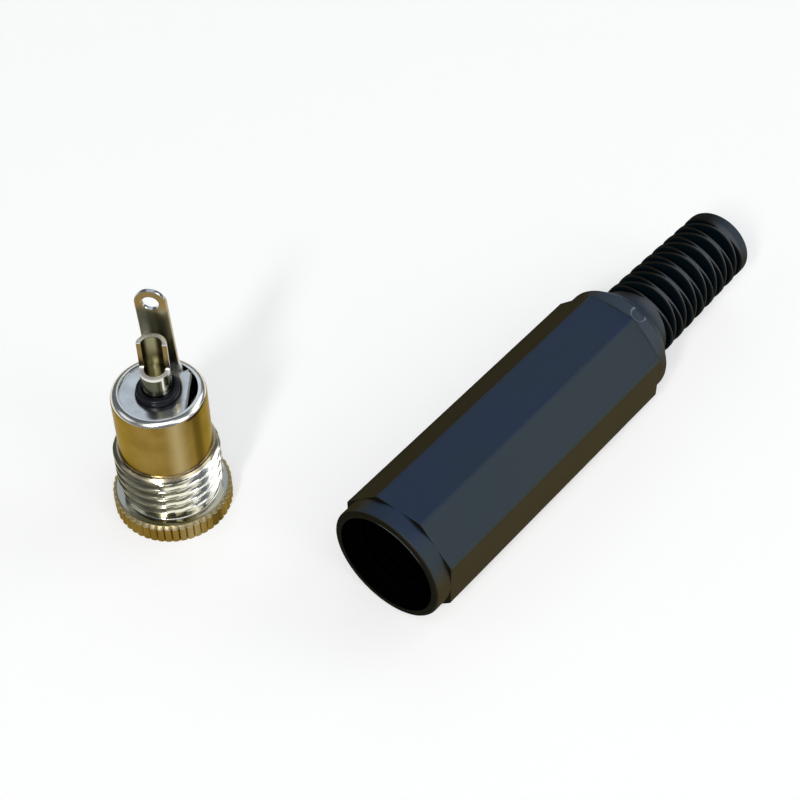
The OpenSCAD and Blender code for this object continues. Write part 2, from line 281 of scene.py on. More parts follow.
def smoothByAngle(piece, degrees):
    mesh = piece.data
    mesh.polygons.foreach_set("use_smooth", np.ones(len(mesh.polygons), bool))
    mesh.set_sharp_from_angle(angle=math.radians(degrees))


def stand(piece, node, material):  # the piece takes a CAD node's place and finish
    piece.data.materials.clear()
    piece.data.materials.append(material)
    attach(piece, "root")
    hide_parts(node)


# camera: place, target and lens that put the socket and the handle where the photo has them
cameraSet = {
    "spot": (79.19, -63.65, 124.72),
    "target": (8.02, 20.85, 0.0),
    "lens": 83.06,
    "sensor": 36.0,
    "roll": -0.55,
    "reach": (5.0, 20000.0),
}


def makeCamera():
    eye = Vector(cameraSet["spot"]) * mm
    ahead = (Vector(cameraSet["target"]) * mm - eye).normalized()
    side = ahead.cross(Vector((0, 0, 1))).normalized()
    top = side.cross(ahead)
    roll = math.radians(cameraSet["roll"])
    right = side * math.cos(roll) + top * math.sin(roll)
    upward = top * math.cos(roll) - side * math.sin(roll)
    data = bpy.data.cameras.new("photoCamera")
    data.lens = cameraSet["lens"]
    data.sensor_width = cameraSet["sensor"]
    data.clip_start, data.clip_end = [place * mm for place in cameraSet["reach"]]
    camera = bpy.data.objects.new("photoCamera", data)
    turn = Matrix((right, upward, -ahead)).transposed().to_4x4()
    camera.matrix_world = Matrix.Translation(eye) @ turn
    bpy.context.scene.collection.objects.link(camera)
    bpy.context.scene.camera = camera


def photoSide(x, y):  # how far a place lies to the right of the socket's axis, seen from the camera
    towards = Vector(cameraSet["spot"][:2]).normalized()
    return y * towards.x - x * towards.y


makeCamera()
print("camera set")

# floor and light: white floor, pale room, soft boxes
studio = {
    "floorSize": 3000.0,
    "floorDrop": 0.02,
    "floorTone": (0.5, 0.5, 0.5),
    "floorGlow": (0.56, 0.56, 0.56),
    "farGlow": (0.97, 0.97, 0.97),
    "farSpan": (150.0, 900.0),  # where the lamps' light runs out
    "bounce": (0.8, 0.8, 0.8),  # the floor as it lights the pieces
    "horizon": (0.30, 0.31, 0.32),
    "horizonTop": 0.35,
    "ceiling": (0.20, 0.22, 0.25),
    "ceilingStart": 0.9,
    "roomStrength": 0.42,
    "boxes": [
        # name, place (mm), target (mm), width and height (mm), power, colour
        ("far", (-376, 476, 674), (8, 20, 5), 700, 700, 1.0, (0.84, 0.92, 1.0)),
        ("front", (305, -248, 700), (8, 20, 10), 420, 460, 1.1, (1.0, 1.0, 0.99)),
        ("key", (215, -558, 520), (8, 20, 8), 80, 170, 2.6, (1.0, 0.99, 0.97)),
        ("right", (730, 80, 345), (8, 20, 8), 330, 400, 0.75, (1.0, 0.99, 0.96)),
        ("bow", (620, -40, 560), (8, 20, 8), 300, 300, 0.5, (1.0, 1.0, 0.98)),
        ("side", (600, 500, 350), (20, 30, 8), 300, 420, 0.8, (0.96, 1.0, 1.0)),
        ("wing", (250, 540, 500), (0, 0, 8), 380, 380, 0.9, (0.98, 1.0, 1.0)),
        ("left", (-413, -512, 456), (0, 0, 8), 420, 360, 0.4, (1.0, 1.0, 1.0)),
    ],
}


def floorFinish():
    material, tree = newFinish("paleFloor")
    ray = tree.nodes.new("ShaderNodeLightPath")
    kinds = ("Is Camera Ray", "Is Glossy Ray", "Is Transmission Ray")
    seen = either(*[Wire(tree, ray.outputs[kind]) for kind in kinds])
    paper = addNode(tree, "ShaderNodeBsdfDiffuse", None, {"Color": solid(studio["bounce"])})
    shade = addNode(tree, "ShaderNodeBsdfDiffuse", None, {"Color": solid(studio["floorTone"])})
    x, y = split(spotOn(tree))[:2]
    far = step((x * x + y * y) ** 0.5, *studio["farSpan"])
    glow = mixColour(far, studio["floorGlow"], studio["farGlow"])
    glow = addNode(tree, "ShaderNodeEmission", None, {"Color": glow, "Strength": 1.0})
    white = addNode(tree, "ShaderNodeAddShader", None, {0: shade, 1: glow})
    look = addNode(tree, "ShaderNodeMixShader", None, {0: seen, 1: paper, 2: white})
    addNode(tree, "ShaderNodeOutputMaterial", None, {"Surface": look})
    return material


def makeFloor():  # a level square just under the pieces
    half = studio["floorSize"] / 2
    x, y = np.meshgrid(np.linspace(-half, half, 3), np.linspace(-half, half, 3), indexing="ij")
    grid = np.stack([x, y, np.full_like(x, -studio["floorDrop"])], -1) * mm
    floor = gridPiece("floor", grid)
    floor.data.materials.append(floorFinish())


def makeRoom():  # a sky that goes from the horizon's tone to the ceiling's
    world = bpy.data.worlds.new("room")
    bpy.context.scene.world = world
    world.use_nodes = True
    tree = world.node_tree
    tree.nodes.clear()
    up = split(addNode(tree, "ShaderNodeTexCoord", out="Generated"))[2]
    stops = [(0.0, studio["horizon"]), (studio["horizonTop"], studio["horizon"]),
             (studio["ceilingStart"], studio["ceiling"])]
    tone = addNode(tree, "ShaderNodeValToRGB", {"stops": stops}, {0: up})
    back = addNode(tree, "ShaderNodeBackground", None, {"Color": tone, "Strength": studio["roomStrength"]})
    addNode(tree, "ShaderNodeOutputWorld", None, {"Surface": back})


def makeLamps():
    for name, spot, target, width, height, power, colour in studio["boxes"]:
        data = bpy.data.lights.new(name, "AREA")
        data.shape = "RECTANGLE"
        data.size = width * mm
        data.size_y = height * mm
        data.energy = power
        data.color = colour
        lamp = bpy.data.objects.new(name, data)
        lamp.location = Vector(spot) * mm
        lamp.rotation_euler = (Vector(target) - Vector(spot)).to_track_quat("-Z", "Y").to_euler()
        bpy.context.scene.collection.objects.link(lamp)


makeFloor()
makeRoom()
makeLamps()
bpy.context.scene.view_settings.view_transform = "Standard"
print("floor and light set")

# barrel: the turned profile spun round Z, with knurl and thread pressed into its radius
barrelSet = {
    "flange": 5.07,
    "flangeTop": 1.9,
    "flangeEdge": 0.08,
    "flangeSlope": 0.25,
    "teeth": 48,
    "toothFlat": 0.42,
    "toothPoints": 8,
    "knurlDepth": 0.16,
    "knurlFrom": 4.6,
    "undercut": 4.05,
    "pitch": 1.0,
    "threadOut": 4.48,
    "threadRoot": 4.0,
    "threadSpan": (2.7, 7.3),
    "threadRows": 72,
    "threadFoot": 4.13,
    "crestHalf": 0.07,  # crest and flank in shares of the pitch
    "flank": 0.35,
    "crestAngle": -38.8,
    "crestHeight": 0.09,
    "neck": 3.94,
    "top": 13.75,
    "rimRound": 0.66,
    "rimInside": 3.24,
    "rimLow": 13.55,
    "seat": 3.45,
    "seatLow": 11.05,
    "chamber": 3.2,
    "chamberLow": 1.4,
    "plug": 3.0,
    "plugEdge": 0.3,
    "smooth": 32,
    "zones": {  # heights and radii of what has its own tone, each with its soft edge
        "knurl": ((0.03, 1.62, 0.06), (4.65, 6.0, 0.05)),
        "knurlEdge": ((1.64, 1.92, 0.03), (4.73, 6.0, 0.03)),
        "ledge": ((1.66, 2.2, 0.04), (4.2, 6.0, 0.05)),
        "thread": ((2.3, 7.2, 0.1), (3.9, 4.55, 0.05)),
        "neck": ((7.1, 13.38, 0.05), (3.8, 4.33, 0.03)),
        "rolled": ((13.35, 20.0, 0.05), (0.0, 6.0, 0.05)),
        "pocket": ((11.0, 13.45, 0.03), (0.0, 3.48, 0.02)),  # the wall behind the leaf, painted near black as shade
    },
    "tones": {
        "silverDark": (0.62, 0.62, 0.58),
        "silverLight": (0.80, 0.80, 0.77),
        # the thread's tones are painted light: darker and warmer as a painted reflection, a painted
        # highlight on its right, a painted shade on its left
        "thread": (0.46, 0.45, 0.36),
        "threadRight": (0.96, 0.96, 0.91),
        "threadLeft": (0.21, 0.205, 0.15),
        # the flange's top painted darker as a reflection of the dark thread above it, darker still at the
        # front
        "ledge": (0.46, 0.46, 0.42),
        "ledgeFront": (0.32, 0.30, 0.20),
        # the flange's chamfer painted gold, part of the painted warm reflection
        "knurlEdge": (0.38, 0.32, 0.18),
        # the rolled rim painted lighter than the rest of the plating, a painted highlight
        "rolled": (0.88, 0.88, 0.86),
        # gold on the neck and knurl: a painted warm reflection over the nickel plating
        "brassDark": (0.22, 0.135, 0.022),
        "brassLight": (0.31, 0.205, 0.05),
        # a painted light streak and a painted dark streak of reflection on the neck
        "brassSheen": (0.44, 0.34, 0.15),
        "brassShade": (0.13, 0.08, 0.018),
        # a pale band at the neck's foot, where the painted warm reflection gives way
        "neckFoot": (0.42, 0.37, 0.26),
        # the knurl's painted warm reflection made darker
        "knurlShade": (0.05, 0.03, 0.005),
        # painted shade: the wall behind the leaf near black
        "pocket": (0.012, 0.012, 0.012),
        "tint": (0.80, 0.70, 0.45),  # a warm tint on the plating's reflections where it is seen from the side, part of the painted warm reflection
    },
}


def barrelProfile():  # radii and heights from the front face up the outside and back down the bore
    rim, edge, slope, ledge, under = take(barrelSet, "flange flangeEdge flangeSlope flangeTop undercut")
    threadRows, threadOut, threadFoot = take(barrelSet, "threadRows threadOut threadFoot")
    wall, top, rimRound, rimInside, rimLow = take(barrelSet, "neck top rimRound rimInside rimLow")
    seat, seatLow, chamber, chamberLow = take(barrelSet, "seat seatLow chamber chamberLow")
    plug, plugEdge = take(barrelSet, "plug plugEdge")
    low, high = barrelSet["threadSpan"]
    entry = (plug + plugEdge, 0)
    outside = filletPath(
        [entry, (rim - edge, 0), (rim, edge), (rim, ledge - slope), (rim - slope, ledge), (under, ledge),
         (under, low)],
        rounds=[0.03, 0.03, 0.08, 0.06, 0.12])
    height = np.linspace(low, high, threadRows + 2)[1:-1]
    thread = np.stack([np.full_like(height, threadOut), height], -1)
    neck = filletPath(
        [(threadFoot, high), (wall, high), (wall, top), (rimInside, top), (rimInside, rimLow),
         (seat, rimLow)],
        rounds=[0.05, rimRound, 0.03, 0.02], steps=14)
    inside = filletPath(
        [(seat, rimLow - 0.1), (seat, seatLow), (chamber, seatLow), (chamber, chamberLow),
         (plug, chamberLow), (plug, plugEdge), entry],
        rounds=[0, 0, 0, 0.05, 0.05])[:-1]
    return outside, thread, neck, inside


def barrelPoints():
    # radius = profile radius, lowered to the knurl's groove in the flange,
    # and in the thread to root + depth * tooth(height / pitch - angle / turn)
    size = barrelSet
    outside, thread, neck, inside = barrelProfile()
    profile = np.concatenate([outside, thread, neck, inside])
    row = np.arange(len(profile))[:, None]
    inFlange = row < len(outside)
    inThread = ~inFlange & (row < len(outside) + len(thread))
    teeth, flat, count = take(size, "teeth toothFlat toothPoints")
    grooveMiddle, grooveHalf = (1 + flat) / 2, (1 - flat) / 2  # in shares of a tooth
    share = np.sort((np.arange(count) / count + grooveMiddle) % 1.0)
    turn = ((np.arange(teeth)[:, None] + share[None]) / teeth).ravel()[None]
    groove = np.clip(1 - np.abs((turn * teeth) % 1.0 - grooveMiddle) / grooveHalf, 0, 1)
    radius = np.repeat(profile[:, :1], turn.size, 1)
    height = np.repeat(profile[:, 1:], turn.size, 1)
    knurled = inFlange & (height < size["flangeTop"] - 0.01) & (radius > size["knurlFrom"])
    radius = np.where(knurled, np.minimum(radius, size["flange"] - size["knurlDepth"] * groove), radius)
    phase = (height - size["crestHeight"]) / size["pitch"] - (turn - size["crestAngle"] / 360)
    away = np.abs(phase - np.round(phase))  # 0 on a crest, 0.5 in a root
    tooth = 1 - ease((away - size["crestHalf"]) / size["flank"])
    cut = size["threadRoot"] + (size["threadOut"] - size["threadRoot"]) * tooth
    low, high = size["threadSpan"]
    limit = np.minimum(size["undercut"] + (height - low), size["threadFoot"] + (high - height))
    radius = np.where(inThread, np.minimum(cut, limit), radius)
    return spun(radius, height, turn * 2 * math.pi)


def barrelFinish():
    tones = barrelSet["tones"]
    material, tree = newFinish("platedBarrel")
    spot = spotOn(tree)
    x, y, z = split(spot)
    radius = (x * x + y * y) ** 0.5
    side = photoSide(x, y) / radius  # -1 on the left of the photo, 1 on its right
    zone = {name: band(z, *heights) * band(radius, *radii)
            for name, (heights, radii) in barrelSet["zones"].items()}
    # painted highlight on the thread's right side and painted shade on its left, as seen from the camera
    threadRight = zone["thread"] * step(side, 0.15, 0.5)
    threadLeft = zone["thread"] * band(side, -0.89, -0.27, 0.09)
    gold = either(zone["neck"], zone["knurl"])
    cloud = noise(spot, 0.35, detail=4.0)
    lathe = noise(spot, 3.0, detail=4.0, rough=0.6, stretch=(0.25, 0.25, 7.0))  # rings from the turning tool
    silver = layered(
        mixColour(cloud, tones["silverDark"], tones["silverLight"]),
        # painted reflection: the thread darker and warmer than the rest of the plating
        (zone["thread"], tones["thread"]),
        (threadRight, tones["threadRight"]),
        (threadLeft, tones["threadLeft"]),
        # painted reflection: the flange's top darker, and darker still where it is seen in front
        (zone["ledge"], tones["ledge"]),
        (zone["ledge"] * band(side, -0.62, 0.45, 0.15), tones["ledgeFront"]),
        # painted warm reflection on the flange's chamfer
        (zone["knurlEdge"], tones["knurlEdge"]),
        # painted highlight: the rolled rim lighter
        (zone["rolled"], tones["rolled"]))
    # painted warm reflection: the nickel-plated neck and knurl coloured gold
    warmReflection = layered(
        mixColour(step(cloud, 0.3, 0.7), tones["brassDark"], tones["brassLight"]),
        # painted reflection: a light streak right of the middle and a dark streak near the right edge, as
        # seen from the camera
        (band(side, 0.08, 0.36, 0.16), tones["brassSheen"]),
        (band(side, 0.58, 0.76, 0.07), tones["brassShade"]),
        (band(z, 6.9, 7.42, 0.04), tones["neckFoot"]),
        (zone["knurl"] * 0.22, tones["knurlShade"]))
    # painted shade on the wall behind the leaf
    colour = layered(silver, (gold, warmReflection), (zone["pocket"], tones["pocket"]))
    rough = 0.08 + 0.08 * lathe + 0.10 * gold + 0.18 * threadLeft + 0.06 * threadRight
    rough = rough + 0.09 * zone["rolled"] + 0.3 * zone["knurlEdge"]
    fixed = {"Metallic": 1.0, "Specular Tint": solid(tones["tint"])}
    closeFinish(tree, fixed, colour, rough, bump(lathe, 0.05))
    return material


def makeBarrel():
    barrel = gridPiece("barrelTurned", barrelPoints(), wrapRows=True, wrapColumns=True)
    smoothByAngle(barrel, barrelSet["smooth"])
    stand(barrel, "barrel", barrelFinish())


makeBarrel()
print("barrel made")

# contact piece: one sheet, made of the ring, the leaf that folds down and the lug that folds up
sheetSet = {
    "turn": 37.6,  # from +X to the middle of the leaf
    "lugTurn": 5.0,
    "top": 13.55,
    "thick": 0.35,
    "hole": 1.87,
    "outer": 3.42,
    "foldEdge": 2.25,
    "foldHalf": 2.162,
    "foldRound": 0.4,
    "foldRows": 7,
    "leafHalf": 0.8,
    "leafTop": 12.0,
    "leafPath": [(2.65, 12.05), (2.65, 11.05), (2.995, 9.55), (2.9, 5.15), (2.995, 3.85)],
    "lugEdge": 2.32,
    "lugRound": 0.05,
    "lugHalf": 1.3,
    "footHalf": 1.6085,
    "flareHeight": 1.3,
    "flareRadius": 2.893,
    "lean": 2.5,
    "holeUp": 7.65,
    "lugHole": 0.7,
    "headDown": 1.5,
    "columns": 13,  # points across leaf and lug, rows round a bend, and points round ring and head
    "rows": 4,
    "ringPoints": 96,
    "headPoints": 40,
    "bevel": (0.045, 55),
    "smooth": 38,
    "tones": {
        "dark": (0.55, 0.57, 0.59),
        "light": (0.74, 0.76, 0.78),
        # the lug's tones are painted reflections: lighter and darker strips across its face, a gold top and
        # edge, and a painted highlight at its foot
        "lugLeft": (0.085, 0.085, 0.06),
        "lugMiddle": (0.06, 0.056, 0.03),
        "lugRight": (0.20, 0.18, 0.115),
        "lugTop": (0.26, 0.18, 0.065),
        "lugEdge": (0.42, 0.34, 0.18),
        "lugFoot": (0.78, 0.78, 0.75),
        # painted shade: the fold and the leaf below the ring's top near black
        "leaf": (0.03, 0.03, 0.035),
    },
}


def ringPoints():
    # point = (radius * cos angle, radius * sin angle), from the hole to the nearer of circle, fold and lug
    size = sheetSet
    share = np.linspace(-1, 1, size["columns"])
    fold = np.arctan2(size["foldHalf"] * share, size["foldEdge"])
    lug = np.arctan2(size["lugEdge"], -size["footHalf"] * share) - math.radians(size["lugTurn"])
    corner = math.acos(size["foldEdge"] / size["outer"])
    free = np.linspace(0, 2 * math.pi, size["ringPoints"] + 1)[:-1]
    beside, clear = 0.02, 0.05  # angles that keep the free points off the fold and the lug
    inFold = np.cos(free) > math.cos(corner + beside)
    inLug = np.abs(free - (lug[0] + lug[-1]) / 2) < (lug[-1] - lug[0]) / 2 + clear
    ends = [lug[0] - beside, lug[-1] + beside, corner, -corner]
    angle = np.concatenate([fold, lug, ends, free[~inFold & ~inLug]])
    atFold = np.cos(angle) >= math.cos(corner + 1e-6)
    edge = np.where(atFold, size["foldEdge"] / np.cos(np.where(atFold, angle, 0)), size["outer"])
    atLug = np.zeros(len(angle), bool)
    atLug[len(fold):len(fold) + len(lug)] = True
    fromLug = np.where(atLug, angle + math.radians(size["lugTurn"]), math.pi / 2)
    edge = np.where(atLug, size["lugEdge"] / np.sin(fromLug), edge)
    order = np.argsort(angle % (2 * math.pi))
    angle, edge = angle[order], edge[order]
    part = np.linspace(0, 1, size["rows"])[:, None]
    return spun(size["hole"] + (edge - size["hole"]) * part, size["top"], angle[None])


def leafPoints():
    # quarter round down from the ring's edge, then the leaf's straight stretches;
    # each row is as wide as the sheet there
    size = sheetSet
    bend = np.linspace(0, math.pi / 2, size["foldRows"])
    path = np.array(size["leafPath"])
    x = np.concatenate([size["foldEdge"] + size["foldRound"] * np.sin(bend), path[:, 0]])
    z = np.concatenate([size["top"] - size["foldRound"] + size["foldRound"] * np.cos(bend), path[:, 1]])
    half = np.where(z > size["leafTop"], size["foldHalf"], size["leafHalf"])
    y = half[:, None] * np.linspace(-1, 1, size["columns"])[None]
    return np.stack(np.broadcast_arrays(x[:, None], y, z[:, None]), -1) * mm


def onLug(across, up):  # point of the lug's inner face, leaning about its foot
    size = sheetSet
    lean = math.radians(size["lean"])
    y = np.full_like(across, size["lugEdge"] + size["lugRound"])
    return np.stack([across * math.cos(lean) - up * math.sin(lean), y,
                     size["top"] + up * math.cos(lean) + across * math.sin(lean)], -1)


def headPoints():
    # rays from the hole's edge to the lug's outline, half round above and a box below; angle 0 is down
    size = sheetSet
    share = np.linspace(-1, 1, size["columns"])
    foot = np.arctan2(size["lugHalf"] * share, size["headDown"])
    rest = np.linspace(foot[-1], 2 * math.pi + foot[0], size["headPoints"] + 2)[1:-1]
    angle = np.concatenate([foot, rest])
    down = np.cos(angle)
    toSide = size["lugHalf"] / np.maximum(np.abs(np.sin(angle)), 1e-6)
    toFoot = size["headDown"] / np.maximum(down, 1e-6)
    edge = np.where(down > 0, np.minimum(toSide, toFoot), size["lugHalf"])
    radius = size["lugHole"] + (edge - size["lugHole"]) * np.linspace(0, 1, size["rows"])[:, None]
    return onLug(radius * np.sin(angle), size["holeUp"] - radius * down) * mm


def stemPoints():
    # rows from the ring's edge round the bend and up to the head; the foot flares in an arc
    size = sheetSet
    share = np.linspace(-1, 1, size["columns"])[None]
    bend = np.linspace(0, math.pi / 2, size["rows"])[:, None]
    y = size["lugEdge"] + size["lugRound"] * np.sin(bend)
    z = size["top"] + size["lugRound"] * (1 - np.cos(bend))
    foot = np.stack(np.broadcast_arrays(size["footHalf"] * share, y, z), -1)
    flaring = np.linspace(0.1, 1.5, 12)
    straight = np.linspace(1.8, size["holeUp"] - size["headDown"], 8)
    up = np.concatenate([flaring, straight])[:, None]
    drop = np.clip(size["flareHeight"] - up, 0, None)
    flare = size["flareRadius"] - np.sqrt(size["flareRadius"] ** 2 - drop ** 2)
    stem = onLug((size["lugHalf"] + flare) * share, np.repeat(up, share.size, 1))
    leaning = np.clip(up / size["flareHeight"], 0, 1)  # the foot stands square on the ring
    stem[..., 0] += (1 - leaning) * up * math.sin(math.radians(size["lean"]))
    stem[..., 2] = size["top"] + up + (stem[..., 2] - size["top"] - up) * leaning
    return np.concatenate([foot, stem]) * mm


def lugSpot(x, y):  # a place as the lug's face has it: across the face, and behind the axis
    angle = math.radians(sheetSet["turn"] - sheetSet["lugTurn"])
    return x * math.cos(angle) + y * math.sin(angle), y * math.cos(angle) - x * math.sin(angle)


def sheetFinish():
    size, tones = sheetSet, sheetSet["tones"]
    material, tree = newFinish("platedSheet")
    spot = spotOn(tree)
    x, y, z = split(spot)
    up = z - size["top"]
    across = lugSpot(x, y)[0] + up * math.sin(math.radians(size["lean"]))  # 0 on the lug's middle line
    level = step(split(facing(tree, "True Normal"))[2].math("ABSOLUTE"), 0.2, 0.6)
    lug = step(up, 0.05, 0.35) * (1 - level)
    cloud = noise(spot, 0.55, detail=4.0)
    fine = noise(spot, 4.0, rough=0.6, stretch=(1, 1, 0.15))
    silver = mixColour(step(cloud, 0.3, 0.7), tones["dark"], tones["light"])
    # painted reflections across the lug, a painted gold top and edge, and a painted highlight at its foot
    warm = layered(
        mixColour(step(across, -0.55, -0.35), tones["lugLeft"], tones["lugMiddle"]),
        (step(across, 0.3, 0.8), tones["lugRight"]),
        (step(up, 6.65, 7.55), tones["lugTop"]),
        (step(across.math("ABSOLUTE"), size["lugHalf"] - 0.08, size["lugHalf"] - 0.02), tones["lugEdge"]),
        ((1 - step(up, 0.65, 1.35)) * step(across, 0.2, 0.6), tones["lugFoot"]))
    # painted shade on the fold and the leaf below the ring
    colour = layered(silver, (lug, warm), (1 - step(up, -0.19, -0.09), tones["leaf"]))
    rough = 0.13 + 0.12 * fine + 0.12 * lug
    closeFinish(tree, {"Metallic": 1.0}, colour, rough, bump(fine, 0.08))
    return material


def makeSheet():
    size = sheetSet
    lugTurn = size["turn"] - size["lugTurn"]
    parts = [(ringPoints(), True, size["turn"]), (leafPoints(), False, size["turn"]),
             (headPoints(), True, lugTurn), (stemPoints(), False, lugTurn)]
    points, faces, count = [], [], 0
    for grid, wrap, turn in parts:
        quads = gridFaces(*grid.shape[:2], wrapColumns=wrap)
        points.append(turned(grid, turn).reshape(-1, 3))
        faces.append(quads + count)
        count += len(points[-1])
    sheet = meshPiece("contactSheet", np.concatenate(points), np.concatenate(faces))
    mergePoints(sheet, levelUp=True)
    shapeBy(sheet, ("SOLIDIFY", {"thickness": size["thick"] * mm, "offset": -1.0, "use_even_offset": True}),
            bevelled(*size["bevel"]))
    smoothByAngle(sheet, size["smooth"])
    stand(sheet, "ground_contact", sheetFinish())


makeSheet()
print("contact piece made")

# bush: a profile spun round Z whose flange is cut flat beside the leaf
bushSet = {
    "flange": 3.42,
    "flat": 2.17,
    "low": 11.05,
    "high": 13.2,
    "edge": 0.06,
    "collar": 1.79,
    "collarTop": 14.15,
    "collarRound": 0.25,
    "hole": 1.28,
    "holeEdge": 0.08,
    "columns": 120,
    "smooth": 35,
    "tones": {
        "dark": (0.004, 0.005, 0.009),
        "light": (0.012, 0.013, 0.018),
    },
}


def bushPoints():
    # radius of the flange at an angle = the smaller of its circle and flat / cos angle
    size = bushSet
    corner = math.acos(size["flat"] / size["flange"])
    even = np.linspace(-math.pi, math.pi, size["columns"] + 1)[:-1]
    angle = np.sort(np.concatenate([even, [corner, -corner]]))
    cut = size["flat"] / np.maximum(np.cos(angle), 1e-6)
    wide = np.where(np.cos(angle) > 0, np.minimum(size["flange"], cut), size["flange"])
    edge, low, high, top = size["edge"], size["low"], size["high"], size["collarTop"]
    flange = [(wide - edge, low), (wide, low + edge), (wide, high - edge), (wide - edge, high)]
    collar = filletPath(
        [(size["collar"] + 0.2, high), (size["collar"], high), (size["collar"], top), (size["hole"], top),
         (size["hole"], low + 0.3)],
        rounds=[0.05, size["collarRound"], size["holeEdge"]], steps=6)
    rows = [(size["hole"], low)] + flange + list(collar)
    radius = np.stack([np.broadcast_to(row[0], angle.shape) for row in rows])
    height = np.array([row[1] for row in rows])[:, None]
    return spun(radius, height, angle[None])


def bushFinish():
    tones = bushSet["tones"]
    material, tree = newFinish("blackBush")
    grain = noise(spotOn(tree), 6.0)
    colour = mixColour(grain, tones["dark"], tones["light"])
    rough = 0.26 + 0.12 * grain
    closeFinish(tree, {"Specular IOR Level": 0.2}, colour, rough, bump(grain, 0.1))
    return material


def makeBush():
    points = turned(bushPoints(), sheetSet["turn"])
    bush = gridPiece("bushMoulded", points, wrapRows=True, wrapColumns=True)
    mergePoints(bush)
    smoothByAngle(bush, bushSet["smooth"])
    stand(bush, "insulator", bushFinish())


makeBush()
print("bush made")

# centre pin: spun profile; the cup's wall stops at the milled opening on the side of the photo
pinSet = {
    "tip": 1.6,
    "tipRound": 0.7,
    "pin": 1.05,
    "shoulder": 1.6,
    "shoulderSpan": (10.45, 11.05),
    "tail": 1.25,
    "cup": 0.85,
    "cupFloor": 15.8,
    "cupTop": 19.03,
    "scoop": 16.2,
    "scoopFlat": -0.06,
    "scoopRound": 0.12,
    "backColumns": 33,
    "bevel": (0.035, 50),
    "smooth": 34,
    "tones": {
        "silverDark": (0.62, 0.62, 0.60),
        "silverLight": (0.80, 0.80, 0.78),
        # the pin above the bush painted dark olive as its reflection, with a painted shade band and a
        # painted highlight stripe; cupWall keeps the plain plating up the cup
        "tailDark": (0.085, 0.09, 0.06),
        "tailLight": (0.13, 0.13, 0.085),
        "tailShade": (0.05, 0.05, 0.03),
        "tailGlint": (0.90, 0.88, 0.78),
        "cupWall": (0.80, 0.79, 0.74),
        # painted on the milled face: dark near the cup's floor as shade, warm reflection higher up
        "milledLow": (0.02, 0.016, 0.007),
        "milledHigh": (0.24, 0.165, 0.06),
        # the cup's inside painted: dark sides, a lighter middle and a painted highlight streak, as seen from
        # the camera
        "hollowSide": (0.04, 0.03, 0.008),
        "hollowMiddle": (0.30, 0.28, 0.16),
        "hollowStreak": (0.66, 0.64, 0.50),
        # the mill's floor painted near white, a painted highlight
        "ledge": (0.98, 0.97, 0.93),
    },
}


def pinPoints():
    # wall height = cup's top behind the flat, and in front of it the mill's floor with its round foot;
    # the columns bend so that two of them, doubled, lie along the flat
    size = pinSet
    tip, pin, shoulder, tail, cup, scoop = take(size, "tip pin shoulder tail cup scoop")
    crowded, wider = np.linspace(0, 0.03, 6), np.linspace(0.22, 0.5, 6)
    front = np.concatenate([crowded, [0.04, 0.055, 0.08, 0.12, 0.17], wider])
    front = np.concatenate([front, 1 - front[-2::-1]])  # close at both ends, where the foot is round
    back = np.linspace(0, 1, size["backColumns"])
    behind = np.repeat([True, False], [len(back), len(front)])
    part = np.concatenate([back, front])
    under, over = size["shoulderSpan"]
    body = filletPath(
        [(0, tip), (pin, tip), (pin, under), (shoulder, under), (shoulder, over), (tail, over),
         (tail, scoop)],
        rounds=[size["tipRound"], 0, 0.05, 0.05, 0], steps=8)
    walls = [tail, tail, (tail + cup) / 2, cup, cup, cup, cup, 0]
    radius = np.concatenate([body[:, 0], walls])[:, None]
    flat = np.arcsin(size["scoopFlat"] / np.maximum(radius, cup))
    atBack = -flat + (math.pi + 2 * flat) * part
    atFront = math.pi + flat + (math.pi - 2 * flat) * part
    angle = np.where(behind, atBack, atFront)
    past = np.clip(radius * np.sin(angle) + size["scoopFlat"] + size["scoopRound"], 0, None)
    foot = size["scoopRound"] - np.sqrt(np.clip(size["scoopRound"] ** 2 - past ** 2, 0, None))
    top = np.where(behind, size["cupTop"], scoop + foot)
    knee = np.minimum(top, scoop + size["scoopRound"])
    height = np.repeat(np.concatenate([body[:, 1], np.zeros(len(walls))])[:, None], len(part), 1)
    wall = len(body)  # the first row of the cup's wall: up its outside, over its top and down to its floor
    height[wall] = knee[wall]
    height[wall + 1:wall + 4] = top[wall + 1:wall + 4]
    height[wall + 4] = knee[wall + 4]
    height[wall + 5] = scoop
    height[wall + 6:] = size["cupFloor"]
    return spun(radius, height, angle)


